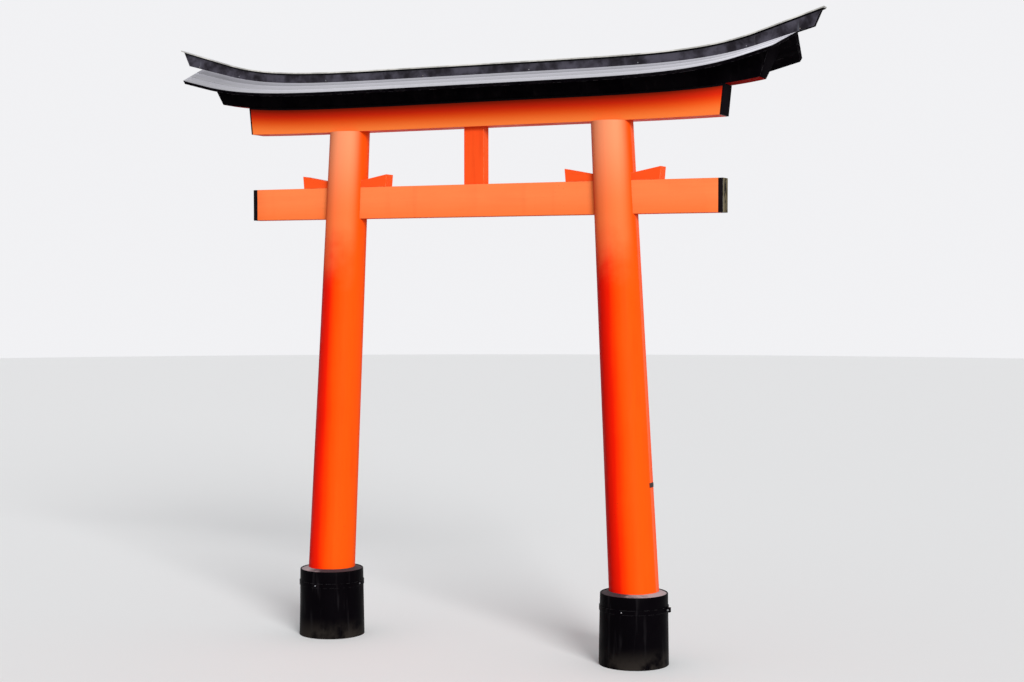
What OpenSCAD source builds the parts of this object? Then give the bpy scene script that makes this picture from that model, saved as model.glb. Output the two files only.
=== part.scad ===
// A vermilion timber gate: two leaning round pillars in black base sleeves, a tie beam wedged
// through them, and a curved double lintel under a small black boarded roof with a ridge board.
// X runs along the beams, Y through the gate, Z up. The origin is on the ground, midway between
// the pillars. All sizes are in millimetres.

/* [Pillars] */
// Distance between the pillar axes at the ground
pillar_spacing = 2000; // [1600:10:2400]
// Pillar diameter at the ground
pillar_foot_d = 287; // [240:1:306]
// Pillar diameter under the lower lintel
pillar_top_d = 237; // [200:1:266]
// Inward lean of each pillar, in degrees
pillar_lean = 3; // [0:0.25:4]

/* [Kerf strips] */
// Width of the kerf sawn down the outer side of each pillar
kerf_w = 36; // [20:1:53]
// Distance from the pillar's centre to the bottom of the kerf
kerf_floor_r = 73; // [54:1:86]
// Joint left on each side of the strip in its kerf
kerf_joint = 1.5; // [1:0.5:3]
// Height of the iron key's middle above the ground
key_z = 1000; // [600:10:1660]
// Height of the iron key
key_h = 25; // [14:1:33]
// Length of the iron key round the pillar
key_w = 56; // [56:1:100]
// Depth of the key let into the pillar
key_let_in = 7; // [4:1:13]
// How far the key stands proud of the pillar
key_proud = 3.5; // [1.5:0.5:6.5]

/* [Base sleeves] */
// Height of each sleeve above the ground
sleeve_h = 400; // [240:10:500]
// Sleeve diameter at the ground
sleeve_foot_d = 393; // [374:1:440]
// Sleeve diameter at its rim
sleeve_rim_d = 380; // [367:1:426]
// Wall thickness of the sleeve
sleeve_wall = 5; // [3:0.5:10]
// How far the filling lies below the rim
fill_drop = 4; // [2:1:13]
// How much higher the filling stands against the pillar, to shed water
fill_rise = 16; // [0:1:33]
// Width of the level lip of the filling against the pillar
fill_lip = 3.5; // [2:0.5:10]
// Height of the hoop's middle below the rim
hoop_below_rim = 83; // [40:1:166]
// Height of the hoop
hoop_h = 27; // [17:1:40]
// Thickness of the hoop and its ears
hoop_t = 3.5; // [2:0.5:5]
// Gap between the hoop's two ears
ear_gap = 12; // [7:1:20]
// Length of each ear outside the hoop
ear_l = 21; // [21:1:33]
// Diameter of the clamping bolt
bolt_d = 8; // [5:1:10]

/* [Tie beam] */
// Height of the tie beam
tie_h = 187; // [134:1:213]
// Thickness of the tie beam
tie_t = 83; // [60:1:100]
// How far the tie beam passes the pillar axes at the ground, at each end
tie_out = 502; // [400:1:600]
// Chamfer on the long edges of the tie beam
tie_chamfer = 2.5; // [1:0.5:5]
// Reach of each wedge from the pillar's centre
wedge_reach = 287; // [214:1:346]
// Height of a wedge at its thin end
wedge_tip_h = 19; // [10:1:26]
// Height of a wedge at its thick end
wedge_end_h = 73; // [47:1:93]
// Gap between the thin ends of a pillar's two wedges
wedge_gap = 11; // [3:1:26]
// How far the top of a wedge's thick end leans out
wedge_end_lean = 6; // [0:1:16]
// Height of the centre strut, from the tie beam to the lower lintel
strut_h = 329; // [267:1:600]
// Width of the centre strut
strut_w = 127; // [80:1:173]
// Thickness of the centre strut
strut_t = 64; // [47:1:86]

/* [Lintels] */
// Height of the lower lintel's underside above the ground, at the middle
lintel_z = 3023; // [2890:1:3200]
// Rise of the lower lintel's underside where its curve turns straight
foot_rise = 15; // [0:1:33]
// Height of the lower lintel at the middle
lower_h = 150; // [120:1:200]
// Thickness of the lower lintel
lower_t = 131; // [107:1:173]
// How much shorter the lower lintel is than the upper one, at each end
lower_inset = 210; // [147:1:266]
// Outward lean of the lower lintel's ends, in degrees
lower_end_lean = 6; // [0:1:12]
// Rise of the joint between the two lintels where its curve turns straight
joint_rise = 44; // [20:1:73]
// Height of the upper lintel's sides at the middle
upper_h = 105; // [80:1:146]
// Thickness of the upper lintel along its underside
upper_foot_t = 120; // [100:1:173]
// Thickness of the upper lintel under the roof
upper_head_t = 200; // [160:1:266]
// How much shorter the upper lintel's underside is than the eaves, at each end
upper_inset = 136; // [80:1:173]
// Outward lean of the upper lintel's ends, in degrees
upper_end_lean = 25; // [0:1:32]

/* [Roof] */
// Half the width of the roof
roof_half_w = 287; // [240:1:333]
// Pitch of the roof, in degrees
roof_pitch = 18; // [14:1:26]
// Thickness of the roof boards
roof_t = 19; // [14:1:30]
// How far the eaves pass the pillar axes at the ground, at each end
eave_out = 844; // [767:1:900]
// How much further the roof reaches at the ridge than at the eaves, at each end
verge_out = 53; // [0:1:86]
// Rise of the roof's curve where it turns straight
roof_rise = 73; // [54:1:106]
// Straight stretch between the end of the curve and the upper lintel's end
flare_straight = 28; // [7:1:80]
// Number of short straights that make up each half of the curve
flare_bays = 48; // [16:1:60]
// Power of the curve: a high power keeps the middle flat and turns the ends up
flare_power = 6; // [4:0.5:7]

/* [Ridge] */
// Thickness of the ridge board
ridge_t = 33; // [24:1:53]
// Height of the ridge board at the middle
ridge_h = 47; // [34:1:73]
// Added height of the ridge board where the curve turns straight
ridge_grow = 11; // [0:1:26]
// How much longer the ridge board's underside is than the eaves, at each end
ridge_out = 145; // [120:1:213]
// Outward lean of the ridge board's ends, in degrees
ridge_end_lean = 28; // [0:1:35]
// Length of each jointed end piece of the ridge board
ridge_end_l = 322; // [200:1:600]
// Thickness of the ridge cap
cap_t = 8; // [7:1:20]
// Width of the ridge cap
cap_w = 60; // [56:1:93]
// How far the cap passes the ends of the ridge board
cap_out = 12; // [0:1:53]
// Length of each jointed end piece of the cap, from the ridge board's end
cap_end_l = 722; // [467:1:930]

/* [Hidden] */
$fn = 96;

vermilion = [0.89, 0.22, 0.06];
pale_vermilion = [0.93, 0.36, 0.16];
black_paint = [0.08, 0.07, 0.09];
mortar_grey = [0.32, 0.28, 0.32];
dark_iron = [0.16, 0.14, 0.14];

beyond = 300;
tie_top_z = lintel_z - strut_h;
tie_z = tie_top_z - tie_h;
tie_half_l = pillar_spacing / 2 + tie_out;
pillar_taper = (pillar_foot_d - pillar_top_d) / lintel_z;
sleeve_x = pillar_axis_x(sleeve_h);
hoop_z = sleeve_h - hoop_below_rim;
hoop_r = sleeve_d(hoop_z) / 2;
bolt_head_w = 1.6 * bolt_d;
bolt_head_h = 0.65 * bolt_d;
bolt_x = hoop_r + hoop_t + ear_l / 2;

eave_half_l = pillar_spacing / 2 + eave_out;
upper_half_l = eave_half_l - upper_inset;
lower_half_l = upper_half_l - lower_inset;
ridge_half_l = eave_half_l + ridge_out;
ridge_joint_x = ridge_half_l - ridge_end_l;
cap_joint_x = ridge_half_l - cap_end_l;

flare_reach = upper_half_l - flare_straight;
bay = flare_reach / flare_bays;
joint_z = lintel_z + lower_h;
roof_t_upright = roof_t / cos(roof_pitch);
roof_height = roof_half_w * tan(roof_pitch);
eave_z = joint_z + upper_h + roof_t_upright - (roof_half_w - upper_head_t / 2) * tan(roof_pitch);
verge_lean = verge_out / roof_height;

// Where the leaning pillar's axis is at a height z, on the right-hand side
function pillar_axis_x(z) = pillar_spacing / 2 - z * tan(pillar_lean);

// Diameter of the tapered log at a distance s up its own axis
function log_d(s) = pillar_foot_d - pillar_taper * s;

// Outer diameter of the tapered sleeve at a height z
function sleeve_d(z) = sleeve_foot_d + (sleeve_rim_d - sleeve_foot_d) * z / sleeve_h;

// The upward curve as a share of its rise: flat in the middle, straight beyond flare_reach
function flare(x) =
    abs(x) < flare_reach
        ? pow(abs(x) / flare_reach, flare_power)
        : 1 + flare_power * (abs(x) / flare_reach - 1);

// The same curve as the chain of short straights that every curved piece is cut to
function flare_line(x) =
    let (low = floor(x / bay) * bay, share = (x - low) / bay)
    (1 - share) * flare(low) + share * flare(low + bay);

// The bay lines that lie between two places along the gate
function bays_between(low, high) =
    [for (k = [ceil(low / bay + 0.05) : floor(high / bay - 0.05)]) k * bay];

function lower_bottom_z(x) = lintel_z + foot_rise * flare_line(x);
function lower_top_z(x) = joint_z + joint_rise * flare_line(x);
function roof_top_z(x, y) =
    eave_z + roof_rise * flare_line(x) + (roof_half_w - abs(y)) * tan(roof_pitch);
function ridge_top_z(x) = roof_top_z(x, 0) + ridge_h + ridge_grow * flare_line(x);

// A chain of sections closed at both ends. Every section lists its points in the same order.
module loft(sections) {
    n = len(sections[0]);
    last = len(sections) - 1;
    points = [for (section = sections, point = section) point];
    sides = [
        for (j = [0 : last - 1], i = [0 : n - 1], half = [0, 1])
            let (a = j * n + i, b = j * n + (i + 1) % n)
            half == 0 ? [a, a + n, b + n] : [a, b + n, b]
    ];
    near_end = [for (i = [0 : n - 1]) i];
    far_end = [for (i = [n - 1 : -1 : 0]) last * n + i];
    polyhedron(points, concat([near_end], sides, [far_end]), convexity = 6);
}

// An outline drawn in X and Z, given a thickness in Y about the middle of the gate
module upright_plate(thickness) {
    rotate([90, 0, 0])
        linear_extrude(height = thickness, center = true)
            children();
}

module on_right() {
    children();
}

module on_left() {
    mirror([1, 0, 0])
        children();
}

// Stands its children on the ground at the right-hand pillar, leaning with it
module leaning() {
    translate([pillar_spacing / 2, 0, 0])
        rotate([0, -pillar_lean, 0])
            children();
}

// The bare tapered log, longer than the pillar at both ends and grown by an allowance
module bare_log(grown = 0) {
    s_end = lintel_z + beyond;
    leaning()
        translate([0, 0, -beyond])
            cylinder(h = s_end + beyond, d1 = log_d(-beyond) + 2 * grown, d2 = log_d(s_end) + 2 * grown);
}

// The space from the ground up to the curved underside of the lower lintel
module under_lintel() {
    low = pillar_axis_x(lintel_z) - pillar_foot_d;
    high = pillar_spacing / 2 + pillar_foot_d;
    xs = concat([low], bays_between(low, high), [high]);
    upright_plate(2 * pillar_foot_d)
        polygon(concat([[high, 0], [low, 0]], [for (x = xs) [x, lower_bottom_z(x)]]));
}

module kerf_space(joint = 0) {
    leaning()
        translate([kerf_floor_r, joint - kerf_w / 2, -beyond])
            cube([pillar_foot_d, kerf_w - 2 * joint, lintel_z + 2 * beyond]);
}

// The band round the outer side of the log that the iron key fills, cut down to a given depth
module key_space(grown) {
    intersection() {
        difference() {
            bare_log(grown);
            bare_log(-key_let_in);
        }
        leaning()
            translate([0, -key_w / 2, key_z - key_h / 2])
                cube([pillar_foot_d, key_w, key_h]);
    }
}

module tie_beam_outline() {
    y = tie_t / 2;
    c = tie_chamfer;
    polygon([
        [-y + c, 0], [y - c, 0], [y, c], [y, tie_h - c],
        [y - c, tie_h], [-y + c, tie_h], [-y, tie_h - c], [-y, c]
    ]);
}

module tie_beam_bar() {
    translate([-tie_half_l, 0, tie_z])
        rotate([90, 0, 90])
            linear_extrude(height = 2 * tie_half_l)
                tie_beam_outline();
}

// The outline of a wedge that points at the pillar's centre from the outer side
module wedge_outline() {
    polygon([
        [wedge_gap / 2, 0],
        [wedge_reach - wedge_end_lean, 0],
        [wedge_reach, wedge_end_h],
        [wedge_gap / 2, wedge_tip_h]
    ]);
}

// The hole through the pillar for the tie beam with its two wedges above it
module tie_mortise() {
    translate([pillar_axis_x(tie_top_z) - wedge_reach, -tie_t / 2, tie_z])
        cube([2 * wedge_reach, tie_t, tie_h]);
    translate([pillar_axis_x(tie_top_z), 0, tie_top_z])
        upright_plate(tie_t) {
            wedge_outline();
            mirror([1, 0])
                wedge_outline();
            translate([-wedge_gap / 2, 0])
                square([wedge_gap, wedge_tip_h]);
        }
}

module pillar() {
    color(vermilion)
        difference() {
            intersection() {
                bare_log();
                under_lintel();
            }
            kerf_space();
            key_space(beyond / 10);
            tie_mortise();
        }
}

module kerf_strip() {
    color(vermilion)
        difference() {
            intersection() {
                bare_log();
                under_lintel();
                kerf_space(kerf_joint);
            }
            key_space(beyond / 10);
            tie_mortise();
        }
}

module kerf_key() {
    color(dark_iron)
        key_space(key_proud);
}

module base_sleeve() {
    color(black_paint)
        translate([sleeve_x, 0, 0])
            difference() {
                cylinder(h = sleeve_h, d1 = sleeve_foot_d, d2 = sleeve_rim_d);
                sleeve_bore();
            }
}

// The inside of the sleeve, from just below the ground to just above the rim
module sleeve_bore() {
    run = sleeve_h + 2 * sleeve_wall;
    translate([0, 0, -sleeve_wall])
        cylinder(
            h = run,
            d1 = sleeve_d(-sleeve_wall) - 2 * sleeve_wall,
            d2 = sleeve_d(sleeve_h + sleeve_wall) - 2 * sleeve_wall
        );
}

// Mortar packed between the sleeve and the log, and sloped off from the log to just below the rim
module base_fill() {
    edge_z = sleeve_h - fill_drop;
    lip_r = log_d(edge_z) / 2 + fill_lip;
    color(mortar_grey)
        difference() {
            translate([sleeve_x, 0, 0])
                rotate_extrude()
                    polygon([
                        [0, 0],
                        [sleeve_d(0) / 2 - sleeve_wall, 0],
                        [sleeve_d(edge_z) / 2 - sleeve_wall, edge_z],
                        [lip_r, edge_z + fill_rise],
                        [0, edge_z + fill_rise]
                    ]);
            bare_log();
        }
}

// The hoop is a strap round the sleeve whose ends turn out into two ears
module base_hoop() {
    ear_x = hoop_r + hoop_t + ear_l;
    color(black_paint)
        translate([sleeve_x, 0, 0])
            difference() {
                union() {
                    translate([0, 0, hoop_z - hoop_h / 2])
                        cylinder(h = hoop_h, r = hoop_r + hoop_t);
                    translate([hoop_r - hoop_t, -ear_gap / 2 - hoop_t, hoop_z - hoop_h / 2])
                        cube([ear_x - hoop_r + hoop_t, ear_gap + 2 * hoop_t, hoop_h]);
                }
                cylinder(h = sleeve_h, d1 = sleeve_foot_d, d2 = sleeve_rim_d);
                translate([hoop_r - beyond / 10, -ear_gap / 2, hoop_z - hoop_h])
                    cube([ear_l + beyond, ear_gap, 2 * hoop_h]);
                bolt_shank(ear_gap + 4 * hoop_t);
            }
}

module bolt_shank(length) {
    translate([bolt_x, length / 2, hoop_z])
        rotate([90, 0, 0])
            cylinder(h = length, d = bolt_d);
}

module bolt_hexagon(y) {
    translate([bolt_x, y, hoop_z])
        rotate([90, 0, 0])
            cylinder(h = bolt_head_h, d = bolt_head_w, $fn = 6);
}

module hoop_bolt() {
    ear_face = ear_gap / 2 + hoop_t;
    color(dark_iron)
        translate([sleeve_x, 0, 0]) {
            bolt_shank(2 * ear_face + 3 * bolt_head_h);
            bolt_hexagon(-ear_face);
            bolt_hexagon(ear_face + bolt_head_h);
        }
}

module tie_beam() {
    color(pale_vermilion)
        tie_beam_bar();
}

module outer_wedge() {
    color(vermilion)
        translate([pillar_axis_x(tie_top_z), 0, tie_top_z])
            upright_plate(tie_t)
                wedge_outline();
}

module inner_wedge() {
    color(vermilion)
        translate([pillar_axis_x(tie_top_z), 0, tie_top_z])
            upright_plate(tie_t)
                mirror([1, 0])
                    wedge_outline();
}

module centre_strut() {
    half = strut_w / 2;
    xs = concat([-half], bays_between(-half, half), [half]);
    color(vermilion)
        upright_plate(strut_t)
            polygon(concat(
                [[half, tie_top_z], [-half, tie_top_z]],
                [for (x = xs) [x, lower_bottom_z(x)]]
            ));
}

module lower_lintel() {
    foot = lower_half_l;
    end_h = lower_top_z(foot) - lower_bottom_z(foot);
    head = foot + end_h * tan(lower_end_lean);
    foot_xs = concat([-foot], bays_between(-foot, foot), [foot]);
    head_xs = concat([-head], bays_between(-head, head), [head]);
    count = len(head_xs);
    color(vermilion)
        upright_plate(lower_t)
            polygon(concat(
                [for (x = foot_xs) [x, lower_bottom_z(x)]],
                [for (i = [count - 1 : -1 : 0]) [head_xs[i], lower_top_z(head_xs[i])]]
            ));
}

// The upper lintel's five corners at x: two below, two under the roof boards, one at the ridge
function upper_lintel_corners() = [
    [-upper_foot_t / 2, 0],
    [upper_foot_t / 2, 0],
    [upper_head_t / 2, 1],
    [0, 1],
    [-upper_head_t / 2, 1]
];

function upper_lintel_z(x, y, is_head) =
    is_head == 1 ? roof_top_z(x, y) - roof_t_upright : lower_top_z(x);

function upper_lintel_section(x) =
    [for (c = upper_lintel_corners()) [x, c[0], upper_lintel_z(x, c[0], c[1])]];

// The same five corners where the end is sawn leaning outward
function upper_lintel_end(side) = [
    for (c = upper_lintel_corners())
        let (
            height = upper_lintel_z(upper_half_l, c[0], c[1]) - lower_top_z(upper_half_l),
            x = upper_half_l + height * tan(upper_end_lean)
        )
        [side * x, c[0], upper_lintel_z(x, c[0], c[1])]
];

module upper_lintel() {
    color(black_paint)
        loft(concat(
            [upper_lintel_end(-1)],
            [for (x = bays_between(-upper_half_l, upper_half_l)) upper_lintel_section(x)],
            [upper_lintel_end(1)]
        ));
}

// The four corners of the front board's section: distance from the middle, and how far the
// corner lies under the roof's upper face
function roof_board_corners() = [
    [-roof_half_w, 0],
    [-roof_half_w + roof_t * sin(roof_pitch), roof_t_upright],
    [0, roof_t_upright],
    [0, 0]
];

// Where the leaned verge cuts a corner of the board
function verge_x(y, under) =
    eave_half_l + ((roof_half_w - abs(y)) * tan(roof_pitch) - under) * verge_lean;

function roof_board_section(x) =
    [for (c = roof_board_corners()) [x, c[0], roof_top_z(x, c[0]) - c[1]]];

function roof_board_end(side) = [
    for (c = roof_board_corners())
        let (x = verge_x(c[0], c[1]))
        [side * x, c[0], roof_top_z(x, c[0]) - c[1]]
];

module roof_board() {
    inner = min([for (c = roof_board_corners()) verge_x(c[0], c[1])]);
    color(black_paint)
        loft(concat(
            [roof_board_end(-1)],
            [for (x = bays_between(-inner, inner)) roof_board_section(x)],
            [roof_board_end(1)]
        ));
}

// The ridge board's five corners: its underside is cut to sit astride the two roof boards
function ridge_corners() = [
    [-ridge_t / 2, 0],
    [0, 0],
    [ridge_t / 2, 0],
    [ridge_t / 2, 1],
    [-ridge_t / 2, 1]
];

function ridge_z(x, y, is_top) = is_top == 1 ? ridge_top_z(x) : roof_top_z(x, y);

function ridge_section(x) =
    [for (c = ridge_corners()) [x, c[0], ridge_z(x, c[0], c[1])]];

function ridge_end_x(height) = ridge_half_l + height * tan(ridge_end_lean);

function ridge_end() = [
    for (c = ridge_corners())
        let (
            foot_z = roof_top_z(ridge_half_l, ridge_t / 2),
            x = ridge_end_x(ridge_z(ridge_half_l, c[0], c[1]) - foot_z)
        )
        [x, c[0], ridge_z(x, c[0], c[1])]
];

module ridge_board() {
    joint = ridge_joint_x;
    xs = concat([-joint], bays_between(-joint, joint), [joint]);
    color(black_paint)
        loft([for (x = xs) ridge_section(x)]);
}

module ridge_end_board() {
    xs = concat([ridge_joint_x], bays_between(ridge_joint_x, ridge_half_l));
    color(black_paint)
        loft(concat([for (x = xs) ridge_section(x)], [ridge_end()]));
}

function cap_section(x) = [
    [x, -cap_w / 2, ridge_top_z(x)],
    [x, cap_w / 2, ridge_top_z(x)],
    [x, cap_w / 2, ridge_top_z(x) + cap_t],
    [x, -cap_w / 2, ridge_top_z(x) + cap_t]
];

// The cap's end carries on the slant of the ridge board's end
function cap_end() =
    let (
        foot_z = roof_top_z(ridge_half_l, ridge_t / 2),
        foot_x = ridge_end_x(ridge_top_z(ridge_half_l) - foot_z) + cap_out,
        head_x = foot_x + cap_t * tan(ridge_end_lean)
    )
    [
        [foot_x, -cap_w / 2, ridge_top_z(foot_x)],
        [foot_x, cap_w / 2, ridge_top_z(foot_x)],
        [head_x, cap_w / 2, ridge_top_z(head_x) + cap_t],
        [head_x, -cap_w / 2, ridge_top_z(head_x) + cap_t]
    ];

module ridge_cap() {
    joint = cap_joint_x;
    xs = concat([-joint], bays_between(-joint, joint), [joint]);
    color(black_paint)
        loft([for (x = xs) cap_section(x)]);
}

module cap_end_board() {
    xs = concat([cap_joint_x], bays_between(cap_joint_x, ridge_half_l));
    color(black_paint)
        loft(concat([for (x = xs) cap_section(x)], [cap_end()]));
}

on_left() pillar();  // left_pillar
on_right() pillar();  // right_pillar
on_left() kerf_strip();  // left_kerf_strip
on_right() kerf_strip();  // right_kerf_strip
on_left() kerf_key();  // left_kerf_key
on_right() kerf_key();  // right_kerf_key
on_left() base_sleeve();  // left_base_sleeve
on_right() base_sleeve();  // right_base_sleeve
on_left() base_fill();  // left_base_fill
on_right() base_fill();  // right_base_fill
on_left() base_hoop();  // left_base_hoop
on_right() base_hoop();  // right_base_hoop
on_left() hoop_bolt();  // left_hoop_bolt
on_right() hoop_bolt();  // right_hoop_bolt
tie_beam();
on_left() outer_wedge();  // left_outer_wedge
on_left() inner_wedge();  // left_inner_wedge
on_right() inner_wedge();  // right_inner_wedge
on_right() outer_wedge();  // right_outer_wedge
centre_strut();
lower_lintel();
upper_lintel();
roof_board();  // front_roof_board
mirror([0, 1, 0]) roof_board();  // back_roof_board
ridge_board();
on_left() ridge_end_board();  // left_ridge_end
on_right() ridge_end_board();  // right_ridge_end
ridge_cap();
on_left() cap_end_board();  // left_cap_end
on_right() cap_end_board();  // right_cap_end
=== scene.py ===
import math

import bmesh
import bpy
from mathutils import Matrix, Vector, noise


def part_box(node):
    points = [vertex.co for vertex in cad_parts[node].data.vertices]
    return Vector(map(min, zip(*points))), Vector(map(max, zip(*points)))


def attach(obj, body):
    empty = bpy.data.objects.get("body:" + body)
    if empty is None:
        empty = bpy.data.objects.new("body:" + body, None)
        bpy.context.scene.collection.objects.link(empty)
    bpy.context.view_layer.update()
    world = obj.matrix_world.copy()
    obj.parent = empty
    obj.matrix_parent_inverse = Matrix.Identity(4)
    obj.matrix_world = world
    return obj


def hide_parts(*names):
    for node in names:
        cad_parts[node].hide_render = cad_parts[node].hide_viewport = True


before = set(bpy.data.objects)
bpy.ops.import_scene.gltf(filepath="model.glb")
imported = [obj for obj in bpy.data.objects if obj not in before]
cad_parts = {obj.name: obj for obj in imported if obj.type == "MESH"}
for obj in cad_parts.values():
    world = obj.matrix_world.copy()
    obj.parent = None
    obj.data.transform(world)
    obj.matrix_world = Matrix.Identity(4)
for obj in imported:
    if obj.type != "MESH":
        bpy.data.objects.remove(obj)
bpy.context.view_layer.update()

scene = bpy.context.scene
scene.view_settings.view_transform = "Standard"

# Camera. It stands where the photograph was taken, level with the upper half of the pillars and off
# the gate's right-hand side, with the same lens, and is turned until the whole gate is in the picture.
camera_place = Vector((4.352, -8.845, 2.133))
camera_turn = math.radians(25.0)
camera_tilt = math.radians(-2.0)
picture_w = 1024
lens_in_pixels = 1700
camera_data = bpy.data.cameras.new("camera")
camera_data.sensor_width = 36
camera_data.lens = lens_in_pixels / picture_w * camera_data.sensor_width
camera = bpy.data.objects.new("camera", camera_data)
camera.location = camera_place
camera.rotation_euler = (math.radians(90) + camera_tilt, 0, camera_turn)
scene.collection.objects.link(camera)
scene.camera = camera

# Studio. A pale floor under the gate, one broad soft lamp to its right, on the camera's side, and an
# even pale surround that fills the shadows.


def feed(tree, node, inputs):
    """Gives a node's inputs their values. A value may be an output of another node."""
    for name, value in inputs.items():
        if isinstance(value, bpy.types.NodeSocket):
            tree.links.new(value, node.inputs[name])
        else:
            node.inputs[name].default_value = value


def put(tree, kind, inputs=None, **settings):
    """Adds a shader node with its settings and inputs."""
    added = tree.nodes.new(kind)
    for name, value in settings.items():
        setattr(added, name, value)
    feed(tree, added, inputs or {})
    return added


def sums(tree, operation, a, b=0.0, c=0.0, clamp=False):
    """One step of arithmetic on masks and values."""
    step = put(tree, "ShaderNodeMath", {0: a, 1: b, 2: c}, operation=operation, use_clamp=clamp)
    return step.outputs[0]


def is_background(tree):
    """1 where the camera sees it, directly or in a shiny face, and 0 where it only lights the gate."""
    ray = put(tree, "ShaderNodeLightPath").outputs
    seen = sums(tree, "MAXIMUM", ray["Is Camera Ray"], ray["Is Glossy Ray"])
    return sums(tree, "MAXIMUM", seen, ray["Is Transmission Ray"])


def new_finish(name):
    """Starts a material, and gives it with its nodes and its shader."""
    material = bpy.data.materials.new(name)
    material.use_nodes = True
    return material, material.node_tree, material.node_tree.nodes["Principled BSDF"]


floor_r = 40
floor_sides = 96
floor_mesh = bpy.data.meshes.new("floor")
bm = bmesh.new()
bmesh.ops.create_circle(bm, cap_ends=True, segments=floor_sides, radius=floor_r)
bm.to_mesh(floor_mesh)
bm.free()
floor = bpy.data.objects.new("floor", floor_mesh)
scene.collection.objects.link(floor)

# The floor looks pale and throws less of its light up under the beams
lit_tone = 0.45
seen_tone = 0.86
floor_finish, tree, finish = new_finish("floor")
floor_tone = put(
    tree, "ShaderNodeMapRange", {"Value": is_background(tree), "To Min": lit_tone, "To Max": seen_tone}
)
feed(tree, finish, {"Base Color": floor_tone.outputs["Result"], "Roughness": 0.9})
floor_mesh.materials.append(floor_finish)

lamp_data = bpy.data.lights.new("soft_lamp", "SUN")
lamp_data.energy = 3.0
lamp_data.angle = math.radians(24)
lamp = bpy.data.objects.new("soft_lamp", lamp_data)
lamp_from = Vector((0.64, -0.66, 0.39))
lamp.rotation_euler = lamp_from.to_track_quat("Z", "Y").to_euler()
scene.collection.objects.link(lamp)

surround = bpy.data.worlds.new("surround")
scene.world = surround
surround.use_nodes = True
tree = surround.node_tree
fill_light = tree.nodes["Background"]
feed(tree, fill_light, {"Color": (0.97, 0.98, 1.0, 1), "Strength": 0.5})
backdrop = put(tree, "ShaderNodeBackground", {"Color": (0.93, 0.93, 0.95, 1), "Strength": 0.95})
shown = put(
    tree, "ShaderNodeMixShader",
    {"Fac": is_background(tree), 1: fill_light.outputs[0], 2: backdrop.outputs[0]},
)
feed(tree, tree.nodes["World Output"], {"Surface": shown.outputs[0]})

# Pillars. Each is one straight cypress log, planed round with a long taper and set leaning inward.
# A kerf sawn down its outer side lets it dry without splitting, and a mortise takes the tie beam.
foot_x = 1.0
lean = math.radians(3)
foot_r = 0.1435
top_r = 0.1185
pillar_top_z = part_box("right_pillar")[1].z
log_taper = (foot_r - top_r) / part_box("lower_lintel")[0].z
kerf_w = 0.036
kerf_floor = 0.073
arris = 0.001
beam_low, beam_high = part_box("tie_beam")
wedge_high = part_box("right_outer_wedge")[1]
mortise_joint = 0.001
wedge_tip = 0.019
ring_step = 0.05


def axis_x(z):
    """Where the right-hand pillar's axis is at a height."""
    return foot_x - z * math.tan(lean)


def round_noise(angle, z, around, along):
    """Smooth noise over an upright round surface, with a rate around it and a rate along it."""
    return noise.noise(Vector((around * math.cos(angle), around * math.sin(angle), along * z)))


def planed(angle, z):
    """How far the plane left the log's surface off a true cone, a millimetre or so."""
    flats = 0.0009 * round_noise(angle, z, around=2.3, along=0.68)
    ripple = 0.0003 * round_noise(angle, z, around=9, along=2.0)
    return flats + ripple


def log_point(angle, z, grown=0.0):
    """The point of the leaning tapered log's surface at an angle round its axis and a height."""
    run = math.cos(angle)
    r = foot_r + grown + planed(angle, z) - log_taper * z / math.cos(lean)
    r = r / (1 - log_taper * run * math.tan(lean))
    along = (z - r * run * math.sin(lean)) / math.cos(lean)
    x = foot_x - along * math.sin(lean) + r * run * math.cos(lean)
    return Vector((x, r * math.sin(angle), z))


def inside_log(out, y, z):
    """A point inside the log, at a distance out from its axis."""
    along = (z - out * math.sin(lean)) / math.cos(lean)
    return Vector((foot_x - along * math.sin(lean) + out * math.cos(lean), y, z))


def evenly(low, high, step):
    """Places from low to high, evenly spaced and about a step apart."""
    count = max(1, round((high - low) / step))
    return [low + (high - low) * i / count for i in range(count + 1)]


def tube_of_rings(rings):
    """A closed solid through a row of rings that all have as many points."""
    bm = bmesh.new()
    rows = [[bm.verts.new(p) for p in ring] for ring in rings]
    n = len(rows[0])
    for a, b in zip(rows, rows[1:]):
        for i in range(n):
            j = (i + 1) % n
            bm.faces.new((a[i], a[j], b[j], b[i]))
    bm.faces.new(rows[0][::-1])
    bm.faces.new(rows[-1])
    bmesh.ops.recalc_face_normals(bm, faces=bm.faces)
    return bm


def mirrored(bm):
    """The left-hand copy of a right-hand piece."""
    left = bm.copy()
    bmesh.ops.transform(left, matrix=Matrix.Scale(-1, 4, (1, 0, 0)), verts=left.verts)
    bmesh.ops.reverse_faces(left, faces=left.faces)
    return left


def stand_piece(bm, name, material, nodes=(), sharp=20):
    """Turns a built shape into a piece of the gate, in the place of its plain solid."""
    mesh = bpy.data.meshes.new(name)
    bm.to_mesh(mesh)
    bm.free()
    mesh.polygons.foreach_set("use_smooth", [True] * len(mesh.polygons))
    mesh.set_sharp_from_angle(angle=math.radians(sharp))
    mesh.materials.append(material)
    piece = bpy.data.objects.new(name, mesh)
    scene.collection.objects.link(piece)
    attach(piece, "root")
    if nodes:
        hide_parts(*nodes)
    return piece


def pillar_ring(z):
    """The log's outline at a height, with the kerf cut into its outer side."""
    half = kerf_w / 2
    r = foot_r - log_taper * z
    first = math.asin((half + arris) / r)
    turns = 92
    ring = [
        log_point(first + (2 * math.pi - 2 * first) * i / turns, z)
        for i in range(turns + 1)
    ]
    edge = math.sqrt(r * r - half * half) - arris
    ring += [inside_log(edge, -half, z), inside_log(kerf_floor, -half, z)]
    ring += [inside_log(kerf_floor, half, z), inside_log(edge, half, z)]
    return ring


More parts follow.
